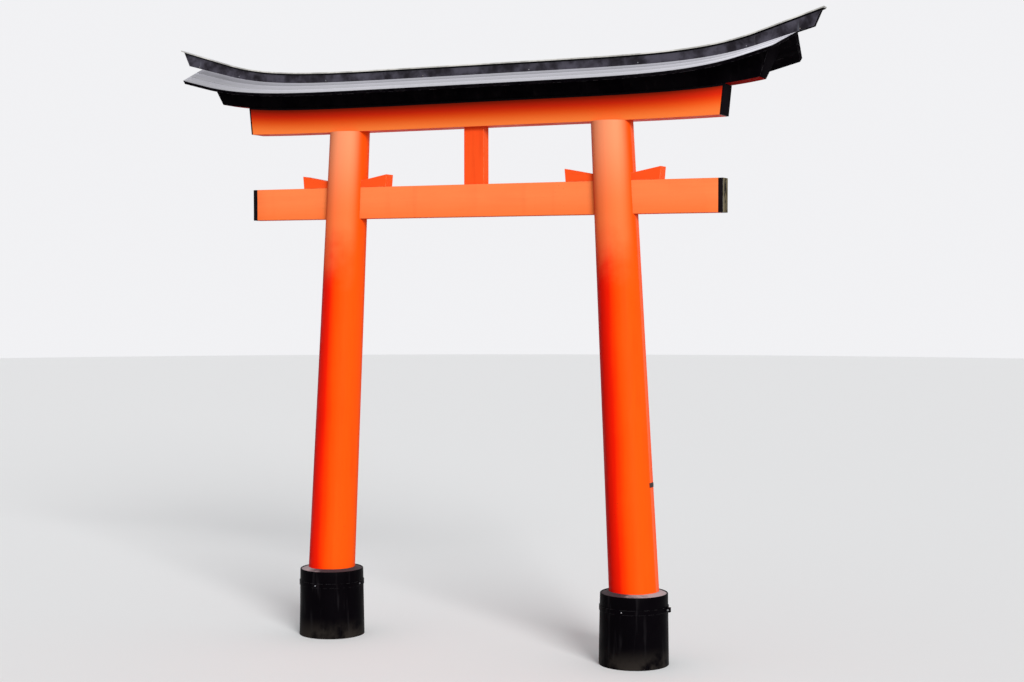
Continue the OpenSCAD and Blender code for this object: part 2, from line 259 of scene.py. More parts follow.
def mortise_tool():
    """The shape of the hole for the tie beam and the two wedges above it."""
    x = axis_x(beam_high.z)
    reach = 0.2
    j = mortise_joint
    seat_z = beam_high.z + wedge_tip
    rise = (wedge_high.z - beam_high.z - wedge_tip) / (wedge_high.x - x)
    outer_z = seat_z + rise * reach
    outline = [
        (x - reach, beam_low.z - j), (x + reach, beam_low.z - j), (x + reach, outer_z + j),
        (x, seat_z + j), (x - reach, outer_z + j),
    ]
    half = beam_high.y + j
    return tube_of_rings([[Vector((px, y, pz)) for px, pz in outline] for y in (-half, half)])


def cut_out(bm, tool_shape):
    """Cuts a tool's shape out of a solid."""
    made = []
    for name, shape in (("whole", bm), ("tool", tool_shape)):
        mesh = bpy.data.meshes.new(name)
        shape.to_mesh(mesh)
        shape.free()
        made.append(bpy.data.objects.new(name, mesh))
        scene.collection.objects.link(made[-1])
    whole, tool = made
    cut = whole.modifiers.new("cut", "BOOLEAN")
    cut.operation = "DIFFERENCE"
    cut.solver = "EXACT"
    cut.object = tool
    evaluated = whole.evaluated_get(bpy.context.evaluated_depsgraph_get())
    result = bmesh.new()
    result.from_mesh(evaluated.to_mesh())
    evaluated.to_mesh_clear()
    for part in made:
        mesh = part.data
        bpy.data.objects.remove(part)
        bpy.data.meshes.remove(mesh)
    return result


def vectors(tree, operation, a, b):
    """One step of arithmetic on places, directions and colours."""
    step = put(tree, "ShaderNodeVectorMath", {0: a, 1: b}, operation=operation)
    return step.outputs["Value" if operation == "DOT_PRODUCT" else "Vector"]


def spot_of(tree, axis=None):
    """Where a point of the surface lies, or one of its coordinates."""
    spot = put(tree, "ShaderNodeTexCoord").outputs["Object"]
    return put(tree, "ShaderNodeSeparateXYZ", {0: spot}).outputs[axis] if axis else spot


def normal_of(tree, axis=None):
    """Which way the surface faces at a point, or how far it faces along one axis."""
    normal = put(tree, "ShaderNodeNewGeometry").outputs["Normal"]
    return put(tree, "ShaderNodeSeparateXYZ", {0: normal}).outputs[axis] if axis else normal


def cloud(tree, spot, scale, detail, roughness=0.5, distortion=0.0):
    """A soft uneven pattern, finer with its scale and busier with its detail."""
    inputs = {"Vector": spot, "Scale": scale, "Detail": detail, "Roughness": roughness}
    return put(tree, "ShaderNodeTexNoise", {**inputs, "Distortion": distortion}).outputs["Fac"]


def between(tree, value, low, high, to_low=0.0, to_high=1.0):
    """Brings a value from one range softly into another."""
    step = put(
        tree, "ShaderNodeMapRange",
        {"Value": value, "From Min": low, "From Max": high, "To Min": to_low, "To Max": to_high},
        interpolation_type="SMOOTHSTEP",
    )
    return step.outputs["Result"]


def blended(tree, share, under, over):
    """Lays one colour over another where a mask says so."""
    step = put(tree, "ShaderNodeMix", data_type="RGBA")
    for name, value in (("Factor_Float", share), ("A_Color", under), ("B_Color", over)):
        socket = next(s for s in step.inputs if s.identifier == name)
        if isinstance(value, bpy.types.NodeSocket):
            tree.links.new(value, socket)
        else:
            socket.default_value = value
    return next(s for s in step.outputs if s.identifier == "Result_Color")


def tinged(tree, under, mask, amount, over):
    """Lays an amount of another colour over the first, where a mask says so."""
    return blended(tree, sums(tree, "MULTIPLY", mask, amount), under, over)


def in_relief(tree, finish, height, strength, depth):
    """Lets a pattern raise the surface."""
    bump = put(tree, "ShaderNodeBump", {"Strength": strength, "Distance": depth, "Height": height})
    feed(tree, finish, {"Normal": bump.outputs["Normal"]})


def new_group(name, inputs, outputs):
    """Starts a group of nodes with named inputs and outputs for an effect that materials share."""
    group = bpy.data.node_groups.new(name, "ShaderNodeTree")
    for label, kind, value in inputs:
        socket = group.interface.new_socket(label, in_out="INPUT", socket_type=kind)
        socket.default_value = value
    for label in outputs:
        group.interface.new_socket(label, in_out="OUTPUT", socket_type=number)
    return group, put(group, "NodeGroupInput").outputs, put(group, "NodeGroupOutput")


def use_group(tree, group, inputs):
    return put(tree, "ShaderNodeGroup", inputs, node_tree=group).outputs


number = "NodeSocketFloat"
direction = "NodeSocketVector"

# Effects that the finishes share: wood grain, weather, the side that the sun reaches (partly sun-faded
# paint, partly painted light and shade), and worn edges
grain_group, given, gives = new_group("grain", [("Run", direction, (18, 18, 0.75))], ["Fibres", "Bands"])
drawn_out = vectors(grain_group, "MULTIPLY", spot_of(grain_group), given["Run"])
fibres = cloud(grain_group, drawn_out, scale=6.0, detail=5.0, roughness=0.62, distortion=0.25)
bands = cloud(grain_group, drawn_out, scale=1.1, detail=2.0, roughness=0.45, distortion=0.1)
feed(grain_group, gives, {"Fibres": fibres, "Bands": bands})

weather_group, given, gives = new_group("weather", [("Size", number, 1.0)], ["Mottle", "Runs", "Specks"])
sized = put(
    weather_group, "ShaderNodeVectorMath", {0: spot_of(weather_group), "Scale": given["Size"]},
    operation="SCALE",
).outputs[0]
mottle = cloud(weather_group, sized, scale=3.9, detail=6.0, roughness=0.6)
hanging = vectors(weather_group, "MULTIPLY", sized, (17, 17, 1.9))
runs = between(weather_group, cloud(weather_group, hanging, scale=1.0, detail=2.0), 0.56, 0.76)
dots = put(weather_group, "ShaderNodeTexVoronoi", {"Vector": sized, "Scale": 51.0, "Randomness": 1.0})
dot_size = between(weather_group, mottle, 0.45, 0.75, 0.02, 0.16)
specks = sums(weather_group, "LESS_THAN", dots.outputs["Distance"], dot_size)
feed(weather_group, gives, {"Mottle": mottle, "Runs": runs, "Specks": specks})

# The sun side's share paints the lamp's side paler orange and the far side darker red: partly sun-faded
# paint, partly painted light and shade.
sunny_way = (0.9, -0.44, 0.05)
sun_side_group, given, gives = new_group(
    "sun_side", [("Low", number, -0.3), ("High", number, 0.9)], ["Share"]
)
turned_out = vectors(sun_side_group, "DOT_PRODUCT", normal_of(sun_side_group), sunny_way)
share = put(
    sun_side_group, "ShaderNodeMapRange",
    {"Value": turned_out, "From Min": given["Low"], "From Max": given["High"]},
).outputs["Result"]
feed(sun_side_group, gives, {"Share": share})

worn_group, given, gives = new_group(
    "worn_edges", [("Width", number, 0.004), ("Patchy", number, 0.5)], ["Mask"]
)
rounded = put(worn_group, "ShaderNodeBevel", {"Radius": given["Width"]}, samples=6).outputs[0]
agree = vectors(worn_group, "DOT_PRODUCT", rounded, normal_of(worn_group))
edge = between(worn_group, agree, 0.995, 0.93)
chips = cloud(worn_group, spot_of(worn_group), scale=33.0, detail=5.0)
patchy_to = sums(worn_group, "ADD", given["Patchy"], 0.12)
chipped = between(worn_group, chips, given["Patchy"], patchy_to)
feed(worn_group, gives, {"Mask": sums(worn_group, "MULTIPLY", edge, chipped)})


def colour_steps(tree, share, steps):
    """A ramp of colours from a list of places and colours."""
    ramp = put(tree, "ShaderNodeValToRGB", {"Fac": share})
    stops = ramp.color_ramp.elements
    stops[0].position, stops[1].position = steps[0][0], steps[-1][0]
    stops[0].color, stops[1].color = (*steps[0][1], 1), (*steps[-1][1], 1)
    for place, tint in steps[1:-1]:
        stops.new(place).color = (*tint, 1)
    return ramp.outputs["Color"]


def vermilion_paint(name, run, steps, low=-0.3, high=0.9, roughness=0.42, stains=0.12, edges=0.6):
    """Oil paint on planed cypress: deep red where it is sheltered, faded to orange in the open. The same
    ramp
    paints light and shade: orange on the side facing the lamp, darker red on the side turned from it.
    """
    material, tree, finish = new_finish(name)
    weather = use_group(tree, weather_group, {"Size": 1.0})
    grain = use_group(tree, grain_group, {"Run": run})
    # Painted light and shade as well as fading: the share runs from the shaded side to the lit side
    lit_and_open_side = use_group(tree, sun_side_group, {"Low": low, "High": high})["Share"]
    drift = sums(tree, "MULTIPLY_ADD", weather["Mottle"], 0.16, -0.08)
    band_drift = sums(tree, "MULTIPLY_ADD", grain["Bands"], 0.16, -0.08)
    faded_and_lit_share = sums(tree, "ADD", sums(tree, "ADD", lit_and_open_side, drift), band_drift, clamp=True)
    worn = use_group(tree, worn_group, {"Width": 0.0035, "Patchy": 0.4})["Mask"]
    paint = tinged(tree, colour_steps(tree, faded_and_lit_share, steps), worn, edges, (0.97, 0.36, 0.18, 1))
    paint = tinged(tree, paint, weather["Runs"], stains, (0.42, 0.006, 0.002, 1))
    paint = tinged(tree, paint, weather["Specks"], 0.4, (0.22, 0.012, 0.008, 1))
    tone = between(tree, grain["Fibres"], 0.3, 0.7, 0.97, 1.02)
    toned = vectors(tree, "MULTIPLY", paint, tone)
    rough = between(tree, weather["Mottle"], 0.3, 0.7, roughness - 0.07, roughness + 0.1)
    feed(tree, finish, {"Base Color": toned, "Roughness": rough, "Specular IOR Level": 0.02})
    planed_grain = sums(tree, "MULTIPLY_ADD", grain["Fibres"], 0.35, grain["Bands"])
    in_relief(tree, finish, planed_grain, strength=0.16, depth=0.002)
    return material


def lay_over_paint(material, mask_and_colour, roughness=None):
    """Lays a second paint over the first: mask_and_colour gives both from the material's nodes."""
    tree = material.node_tree
    finish = tree.nodes["Principled BSDF"]
    under, rough = (finish.inputs[name].links[0].from_socket for name in ("Base Color", "Roughness"))
    mask, over = mask_and_colour(tree)
    feed(tree, finish, {"Base Color": blended(tree, mask, under, over)})
    if roughness is not None:
        mixed = put(tree, "ShaderNodeMix", {0: mask, 2: rough, 3: roughness}, data_type="FLOAT")
        feed(tree, finish, {"Roughness": mixed.outputs[0]})


def on_front(tree, share, begins=-0.5, full=-0.7):
    """A share on the sunny front of a timber and nothing on its other sides."""
    return between(tree, normal_of(tree, "Y"), begins, full, 0.0, share)


def sunlit_and_bleached_top(tree):
    """From a little below the tie beam upward the front is painted paler, palest under the lintel: partly
    sun-bleached paint, partly a painted patch of direct sunlight.
    """
    fade_depth = 0.42
    ragged = 0.4
    over_beam_foot = sums(tree, "SUBTRACT", spot_of(tree, "Z"), beam_low.z)
    mottle = use_group(tree, weather_group, {"Size": 1.0})["Mottle"]
    drift = sums(tree, "MULTIPLY_ADD", mottle, ragged, -ragged / 2)
    high_up = between(tree, sums(tree, "ADD", over_beam_foot, drift), -fade_depth, 0.0)
    up_to_lintel = between(tree, spot_of(tree, "Z"), beam_low.z, pillar_top_z)
    # Paler orange: partly bleached paint, partly a painted patch of sunlight
    sunlit_pale = blended(tree, up_to_lintel, (0.97, 0.19, 0.052, 1), (0.97, 0.32, 0.15, 1))
    return sums(tree, "MULTIPLY", high_up, on_front(tree, 0.92, -0.3, -0.9)), sunlit_pale


upright_grain = (12, 12, 0.68)
# From the shaded side, at 0, to the lit side, at 1: the dark red low steps are painted shade, and the
# orange high steps are partly painted light, partly fading.
pillar_steps = [
    (0.0, (0.60, 0.004, 0.001)), (0.12, (0.80, 0.006, 0.001)), (0.46, (0.95, 0.012, 0.001)),
    (0.62, (0.96, 0.038, 0.001)), (0.8, (0.96, 0.070, 0.002)), (1.0, (0.96, 0.090, 0.004)),
]
pillar_paint = vermilion_paint("pillar_vermilion", upright_grain, pillar_steps, edges=0.2)
lay_over_paint(pillar_paint, sunlit_and_bleached_top)
log = tube_of_rings([pillar_ring(z) for z in evenly(0, pillar_top_z, ring_step)])
pillar = cut_out(log, mortise_tool())
left_pillar = mirrored(pillar)
stand_piece(pillar, "right_log", pillar_paint, ["right_pillar"])
stand_piece(left_pillar, "left_log", pillar_paint, ["left_pillar"])

# Kerf strips. Once the log is dry its kerf is closed with a strip of the same wood, planed flush, and
# a fine joint stays open on both sides.
strip_w = 0.033
strip_sink = 0.0004
strip_steps = [(0.0, (0.70, 0.012, 0.004)), (0.5, (0.93, 0.050, 0.016)), (1.0, (0.96, 0.130, 0.045))]
strip_paint = vermilion_paint(
    "strip_vermilion", upright_grain, strip_steps, roughness=0.5, stains=0.35, edges=0.2
)


def strip_ring(z):
    half = strip_w / 2
    r = foot_r - log_taper * z
    last = math.asin((half - arris) / r)
    turns = 8
    ring = [log_point(-last + 2 * last * i / turns, z, -strip_sink) for i in range(turns + 1)]
    edge = math.sqrt(r * r - half * half) - arris
    ring += [inside_log(edge, half, z), inside_log(kerf_floor, half, z)]
    ring += [inside_log(kerf_floor, -half, z), inside_log(edge, -half, z)]
    return ring


lath = tube_of_rings([strip_ring(z) for z in evenly(0, pillar_top_z, ring_step)])
strip = cut_out(lath, mortise_tool())
left_strip = mirrored(strip)
stand_piece(strip, "right_strip", strip_paint, ["right_kerf_strip"])
stand_piece(left_strip, "left_strip", strip_paint, ["left_kerf_strip"])

# Kerf keys. A small key of forged iron, dull and a little rusty, is let in across each kerf so that it
# can't open again.


def ease_edges(bm, ease):
    """Rounds over the edges of a shape, leaving its shallow bends alone."""
    sharpest_bend = math.radians(24)
    edges = [e for e in bm.edges if e.calc_face_angle(0) > sharpest_bend]
    bmesh.ops.bevel(
        bm, geom=edges, offset=ease, segments=2, profile=0.6, affect="EDGES", clamp_overlap=True
    )


def eased_copy(node, ease, cuts=()):
    """A solid of the frame with its edges eased, and cut across where its marks have to follow."""
    weld = 0.00002
    level = math.radians(0.15)
    on_cut = 0.00001
    bm = bmesh.new()
    bm.from_mesh(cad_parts[node].data)
    bmesh.ops.remove_doubles(bm, verts=bm.verts, dist=weld)
    bmesh.ops.dissolve_limit(
        bm, angle_limit=level, verts=bm.verts, edges=bm.edges, use_dissolve_boundaries=False
    )
    for x in cuts:
        everything = bm.verts[:] + bm.edges[:] + bm.faces[:]
        bmesh.ops.bisect_plane(bm, geom=everything, dist=on_cut, plane_co=(x, 0, 0), plane_no=(1, 0, 0))
    ease_edges(bm, ease)
    bmesh.ops.recalc_face_normals(bm, faces=bm.faces)
    return bm


def plain_metal(name, tint, metallic, roughness, spots):
    """Iron or zinc, dulled by weather, with darker or rusty spots."""
    material, tree, finish = new_finish(name)
    weather = use_group(tree, weather_group, {"Size": 12.0})
    rusty = between(tree, weather["Mottle"], 0.48, 0.62)
    feed(tree, finish, {
        "Base Color": blended(tree, rusty, (*tint, 1), (*spots, 1)),
        "Roughness": between(tree, rusty, 0, 1, roughness, 0.8),
        "Metallic": between(tree, rusty, 0, 1, metallic, 0.1),
    })
    in_relief(tree, finish, weather["Mottle"], strength=0.4, depth=0.0007)
    return material


key_iron = plain_metal(
    "key_iron", (0.014, 0.010, 0.010), metallic=0.2, roughness=0.7, spots=(0.045, 0.014, 0.008)
)
for side in ("left", "right"):
    key = eased_copy(side + "_kerf_key", ease=0.0008)
    stand_piece(key, side + "_key", key_iron, [side + "_kerf_key"])

# Base sleeves. A black painted metal sleeve keeps each pillar's foot dry. Its rim is rolled, and its
# ends overlap in an upright seam behind the hoop's ears.
sleeve_low, sleeve_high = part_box("right_base_sleeve")
sleeve_x = (sleeve_low.x + sleeve_high.x) / 2
sleeve_foot_r = (sleeve_high.x - sleeve_low.x) / 2
sleeve_rim_r = 0.19
sleeve_h = sleeve_high.z
sleeve_wall = 0.005
sleeve_turns = 128
rim_r = 0.004


def sleeve_r(z):
    return sleeve_foot_r + (sleeve_rim_r - sleeve_foot_r) * z / sleeve_h


def sleeve_outline():
    outer = [(sleeve_r(z), z) for z in evenly(0, sleeve_h - rim_r, 0.03)]
    roll_r = sleeve_r(sleeve_h) - rim_r
    roll = [
        (roll_r + rim_r * math.cos(a), sleeve_h - rim_r + rim_r * math.sin(a))
        for a in (math.pi * i / 8 for i in range(1, 8))
    ]
    inner = [(sleeve_r(z) - sleeve_wall, z) for z in (sleeve_h - 2 * rim_r, 0)]
    return outer + roll + inner


def sleeve_dent(angle, z):
    """Knocks and waves in the thin metal, none of them at its foot."""
    deepest = 0.0011
    off_foot = min(1, 9 * z)
    return deepest * round_noise(angle, z, around=1.6, along=3.6) * off_foot


def sleeve_column(angle):
    """The sleeve's outline at an angle round its axis."""
    column = []
    for r, z in sleeve_outline():
        out = r + sleeve_dent(angle, z)
        column.append((sleeve_x + out * math.cos(angle), out * math.sin(angle), z))
    return column


def turned(column, turns):
    """A closed ring through the outlines that a rule gives at even steps round an upright axis."""
    bm = bmesh.new()
    columns = []
    for k in range(turns):
        columns.append([bm.verts.new(p) for p in column(2 * math.pi * k / turns)])
    n = len(columns[0])
    for a, b in zip(columns, columns[1:] + columns[:1]):
        for i in range(n):
            j = (i + 1) % n
            bm.faces.new((a[i], b[i], b[j], a[j]))
    bmesh.ops.recalc_face_normals(bm, faces=bm.faces)
    return bm


sleeve_paint, tree, finish = new_finish("sleeve_black")
weather = use_group(tree, weather_group, {"Size": 2.2})
worn = use_group(tree, worn_group, {"Width": 0.0034, "Patchy": 0.42})["Mask"]
low_down = between(tree, spot_of(tree, "Z"), 0.13, 0.0)
splash = sums(tree, "MULTIPLY", low_down, between(tree, weather["Mottle"], 0.35, 0.6))
black = tinged(tree, (0.0012, 0.0008, 0.0014, 1), weather["Mottle"], 0.5, (0.0034, 0.0026, 0.0036, 1))
black = tinged(tree, black, worn, 0.18, (0.16, 0.15, 0.16, 1))
black = tinged(tree, black, weather["Runs"], 0.2, (0.03, 0.027, 0.03, 1))
black = tinged(tree, black, splash, 0.35, (0.06, 0.05, 0.042, 1))
rough = between(tree, weather["Mottle"], 0.3, 0.7, 0.28, 0.5)
feed(tree, finish, {"Base Color": black, "Roughness": rough, "Specular IOR Level": 0.01})
in_relief(tree, finish, weather["Mottle"], strength=0.25, depth=0.0007)
sleeve = turned(sleeve_column, sleeve_turns)
left_sleeve = mirrored(sleeve)
stand_piece(sleeve, "right_sleeve", sleeve_paint, ["right_base_sleeve"], sharp=40)
stand_piece(left_sleeve, "left_sleeve", sleeve_paint, ["left_base_sleeve"], sharp=40)

# Base filling. Mortar is packed between the log and its sleeve and trowelled off just below the rim.
# It is rough, a little higher against the log, and darker on the passage side than on the outer side.
fill_top_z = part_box("right_base_fill")[1].z
fill_edge_z = sleeve_h - 0.004
lip_share = 0.07
fill_clear = 0.0007
fill_turns = 160


def fill_ring_point(angle, share, z):
    """A point between the log, at share 0, and the sleeve, at share 1."""
    inner = log_point(angle, z)
    r = sleeve_r(z) - sleeve_wall
    outer = Vector((sleeve_x + r * math.cos(angle), r * math.sin(angle), z))
    return inner.lerp(outer, share)


def fill_height(share):
    """The mortar slopes off from a level lip against the log to just below the rim."""
    slope = min(1, max(0, (share - lip_share) / (1 - lip_share)))
    return fill_top_z + (fill_edge_z - fill_top_z) * slope - fill_clear


def trowelled(p):
    """Lumps and scrapes that the trowel left."""
    lumps = 0.0016
    scrapes = 0.0007
    settled = 0.0008
    return lumps * noise.noise(p * 21) + scrapes * noise.noise(p * 90) - settled


def filling_column(angle):
    """The mortar's outline at an angle round the pillar: outward over its top, and back at its foot."""
    column = []
    for share in evenly(0, 1, 0.1):
        p = fill_ring_point(angle, share, fill_height(share))
        p.z += trowelled(p)
        column.append(p)
    return column + [fill_ring_point(angle, share, 0) for share in (1, 0)]


mortar, tree, finish = new_finish("mortar")
weather = use_group(tree, weather_group, {"Size": 5.0})
# The mortar goes from near black on the passage side to pale grey on the outer side, mottled
outward = sums(tree, "SUBTRACT", sums(tree, "ABSOLUTE", spot_of(tree, "X")), sleeve_x)
outer_side_share = sums(tree, "MULTIPLY_ADD", weather["Mottle"], 0.3, sums(tree, "SUBTRACT", outward, 0.15))
passage_side_dark, bare_mortar = (0.030, 0.016, 0.021, 1), (0.38, 0.31, 0.32, 1)
grey = blended(tree, between(tree, outer_side_share, -0.03, 0.12), passage_side_dark, bare_mortar)
grey = tinged(tree, grey, weather["Specks"], 0.7, (0.40, 0.35, 0.37, 1))
feed(tree, finish, {"Base Color": grey, "Roughness": 0.85})
sand = put(tree, "ShaderNodeTexNoise", {"Scale": 240.0, "Detail": 3.0})
in_relief(tree, finish, sand.outputs["Fac"], strength=0.5, depth=0.0014)
filling = turned(filling_column, fill_turns)
left_filling = mirrored(filling)
stand_piece(filling, "right_filling", mortar, ["right_base_fill"], sharp=50)
stand_piece(left_filling, "left_filling", mortar, ["left_base_fill"], sharp=50)

# Hoops. A flat metal strap is drawn round each sleeve by a bolt through its two turned-out ears, and is
# held by zinc-coated nails.
hoop_low, hoop_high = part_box("right_base_hoop")
hoop_z = (hoop_low.z + hoop_high.z) / 2
hoop_t = 0.0035
nail_r = 0.0042
nail_h = 0.0024
nail_sink = 0.0003
nail_angles = (90, 180, 270)
nail_zinc = plain_metal(
    "nail_zinc", (0.27, 0.27, 0.285), metallic=0.8, roughness=0.45, spots=(0.15, 0.12, 0.10)
)


def nail_head(bm, place, outward, r=nail_r, h=nail_h):
    """A low round head, a full turn of small faces over a flat rim."""
    turn = Vector(outward).to_track_quat("Z", "Y").to_matrix().to_4x4()
    sides, steps = 12, 3
    rows = []
    for k in range(steps):
        a = 0.5 * math.pi * k / steps
        ring = [
            (r * math.cos(a) * math.cos(b), r * math.cos(a) * math.sin(b), h * math.sin(a))
            for b in (2 * math.pi * i / sides for i in range(sides))
        ]
        rows.append([bm.verts.new(Vector(place) + turn @ Vector(p)) for p in ring])
    tip = bm.verts.new(Vector(place) + turn @ Vector((0, 0, h)))
    for a, b in zip(rows, rows[1:]):
        for i in range(sides):
            j = (i + 1) % sides
            bm.faces.new((a[i], a[j], b[j], b[i]))
    for i in range(sides):
        bm.faces.new((rows[-1][i], rows[-1][(i + 1) % sides], tip))
    bm.faces.new(rows[0][::-1])


hoop_nails = bmesh.new()
for turn in nail_angles:
    angle = math.radians(turn)
    away = Vector((math.cos(angle), math.sin(angle), 0))
    r = sleeve_r(hoop_z) + hoop_t
    nail_head(hoop_nails, Vector((sleeve_x, 0, hoop_z)) + away * (r - nail_sink), away)
left_hoop_nails = mirrored(hoop_nails)
stand_piece(hoop_nails, "right_hoop_nails", nail_zinc, sharp=40)
stand_piece(left_hoop_nails, "left_hoop_nails", nail_zinc, sharp=40)
for side in ("left", "right"):
    strap = eased_copy(side + "_base_hoop", ease=0.0005)
    stand_piece(strap, side + "_hoop", sleeve_paint, [side + "_base_hoop"])
    bolt = eased_copy(side + "_hoop_bolt", ease=0.0005)
    stand_piece(bolt, side + "_bolt", nail_zinc, [side + "_hoop_bolt"])

# Tie beam. One straight squared timber driven through both pillars. Its ends are dipped in black
# paint, which has worn off the end grain.
end_band = 0.028


def marked(piece, from_end=None, from_top=None, from_foot=None):
    """Writes on every corner of a piece how far it lies from the end, top and foot of the timber."""
    for name, rule in (("from_end", from_end), ("from_top", from_top), ("from_foot", from_foot)):
        if rule:
            layer = piece.data.attributes.new(name, "FLOAT", "POINT")
            layer.data.foreach_set("value", [rule(v.co) for v in piece.data.vertices])
    return piece


def drying_checks(x, cracks):
    """Wedge-shaped tools for the cracks that open in end grain as a timber dries."""
    proud = 0.004
    bm = bmesh.new()
    inward = Vector((-math.copysign(1, x), 0, 0))
    for start, end, width, depth in cracks:
        a, b = (Vector((x, *place)) - inward * proud for place in (start, end))
        across = (b - a).normalized().cross(inward) * width / 2
        deep = inward * (depth + proud)
        mouth = [a, a.lerp(b, 0.5) - across, b, a.lerp(b, 0.5) + across]
        v = [bm.verts.new(p) for p in mouth + [a.lerp(b, 0.3) + deep, a.lerp(b, 0.7) + deep]]
        bm.faces.new(v[:4])
        for corners in ((0, 4, 1), (1, 4, 5), (1, 5, 2), (2, 5, 3), (3, 5, 4), (3, 4, 0)):
            bm.faces.new([v[i] for i in corners])
    bmesh.ops.recalc_face_normals(bm, faces=bm.faces)
    return bm


beam_cuts = evenly(beam_low.x, beam_high.x, 0.125)[1:-1]
# As for the pillars, the dark end is painted shade and the orange end is partly painted light, partly
# fading
beam_steps = [(0.0, (0.62, 0.006, 0.002)), (0.5, (0.93, 0.055, 0.008)), (1.0, (0.97, 0.225, 0.066))]
beam_grain = (0.75, 13, 13)
faint_shine = 0.001
beam_paint = vermilion_paint(
    "beam_vermilion", beam_grain, beam_steps, low=-0.45, high=0.42, stains=0.06
)


def read_mark(tree, name):
    return put(tree, "ShaderNodeAttribute", attribute_name=name, attribute_type="GEOMETRY").outputs["Fac"]


def brushed_line(tree, distance, width):
    """A painted band along an edge, with the slight waver of a brush."""
    waver = 0.0016
    soft = 0.0004
    hand = cloud(tree, spot_of(tree), scale=45.0, detail=2.0)
    line = sums(tree, "MULTIPLY_ADD", hand, waver, width - waver / 2)
    return between(tree, sums(tree, "SUBTRACT", line, distance), -soft, soft)


def black_ends(tree):
    """Black paint round each end, worn through to the grain on the end itself, with its edges painted
    pale:
    partly worn paint, partly a painted highlight.
    """
    weather = use_group(tree, weather_group, {"Size": 6.0})
    end_grain = between(tree, sums(tree, "ABSOLUTE", normal_of(tree, "X")), 0.8, 0.95)
    streaks = cloud(tree, vectors(tree, "MULTIPLY", spot_of(tree), (1, 75, 3.5)), scale=1.0, detail=4.0)
    dark_grain, pale_grain = (0.125, 0.101, 0.058, 1), (0.205, 0.172, 0.108, 1)
    bare = blended(tree, between(tree, streaks, 0.36, 0.62), dark_grain, pale_grain)
    left_on = sums(tree, "MULTIPLY_ADD", weather["Mottle"], 0.45, sums(tree, "MULTIPLY", streaks, 0.55))
    worn_off = sums(tree, "MULTIPLY", end_grain, between(tree, left_on, 0.36, 0.46))
    black = blended(tree, weather["Mottle"], (0.003, 0.002, 0.0025, 1), (0.011, 0.007, 0.009, 1))
    # Pale edges on the black ends: partly rubbed paint, partly a painted highlight where light catches the
    # arris
    rubbed_and_lit_edge = use_group(tree, worn_group, {"Width": 0.0035, "Patchy": 0.36})["Mask"]
    ends = tinged(tree, blended(tree, worn_off, black, bare), rubbed_and_lit_edge, 0.5, (0.42, 0.40, 0.36, 1))
    return brushed_line(tree, read_mark(tree, "from_end"), end_band), ends


beam_middle_z = (beam_low.z + beam_high.z) / 2
beam_cracks = [
    ((-0.006, beam_middle_z + 0.018), (0.003, beam_high.z - 0.016), 0.0014, 0.030),
    ((0.010, beam_low.z + 0.018), (0.003, beam_middle_z - 0.010), 0.0018, 0.035),
    ((-0.024, beam_low.z + 0.050), (-0.020, beam_middle_z + 0.020), 0.0010, 0.020),
]


def deeper_foot(tree):
    """Towards its lower edge the front is a deeper, darker orange."""
    low_down = between(tree, read_mark(tree, "from_foot"), 0.12, -0.02)
    return sums(tree, "MULTIPLY", low_down, on_front(tree, 0.5)), (0.97, 0.150, 0.022, 1)


def second_finish(piece, material, chosen):
    """Gives the faces that a rule chooses another finish."""
    piece.data.materials.append(material)
    for face in piece.data.polygons:
        if chosen(face):
            face.material_index = len(piece.data.materials) - 1
    return piece


def dull_ends(timber, paint):
    """Gives a timber's end faces the same paint with hardly any shine left."""
    end_paint = paint.copy()
    end_paint.name = timber.name + "_end"
    end_paint.node_tree.nodes["Principled BSDF"].inputs["Specular IOR Level"].default_value = faint_shine
    second_finish(timber, end_paint, lambda face: abs(face.normal.x) > 0.8)


lay_over_paint(beam_paint, deeper_foot)
lay_over_paint(beam_paint, black_ends, roughness=0.55)
timber = eased_copy("tie_beam", ease=0.001, cuts=beam_cuts)
for x in (beam_low.x, beam_high.x):
    timber = cut_out(timber, drying_checks(x, beam_cracks))
beam = stand_piece(timber, "tie_timber", beam_paint, ["tie_beam"])
dull_ends(beam, beam_paint)
marked(beam, from_end=lambda p: beam_high.x - abs(p.x), from_foot=lambda p: p.z - beam_low.z)

# Wedges. Two timber wedges are driven in over the tie beam at each pillar, one from each side, and hold
# it tight in its mortise. They are painted with the rest.
wedge_steps = [(0.0, (0.60, 0.005, 0.001)), (0.5, (0.92, 0.035, 0.004)), (1.0, (0.96, 0.110, 0.018))]
wedge_paint = vermilion_paint("wedge_vermilion", beam_grain, wedge_steps, low=-0.4, high=0.6)
for node in ("left_outer_wedge", "left_inner_wedge", "right_inner_wedge", "right_outer_wedge"):
    stand_piece(eased_copy(node, ease=0.0014), node + "_piece", wedge_paint, [node])

# Centre strut. A short timber post, painted red, stands on the tie beam and carries the middle of the
# lintels.
strut_grain = (13, 13, 0.75)
strut_paint = vermilion_paint("strut_vermilion", strut_grain, wedge_steps, low=-0.4, high=0.6)
strut = eased_copy("centre_strut", ease=0.002)
stand_piece(strut, "strut_post", strut_paint, ["centre_strut"])

# Lower lintel. A long squared timber, hewn to a slight upward curve, lies on the pillars. Its ends and
# a narrow strip along its top are black.
lintel_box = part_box("lower_lintel")
curve_reach = 1.68
curve_power = 6
joint_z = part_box("upper_lintel")[0].z
joint_rise = 0.044
foot_z = lintel_box[0].z
lower_end = 1.498
lower_end_lean = math.tan(math.radians(6))
top_strip = 0.012
front_band = 0.011
cuts_reach = 1.95
curve_cuts = evenly(-cuts_reach, cuts_reach, 0.05)


def flare(x):
    """The share of the full rise of the curve at a place along the gate."""
    x = abs(x) / curve_reach
    return x ** curve_power if x < 1 else 1 + curve_power * (x - 1)


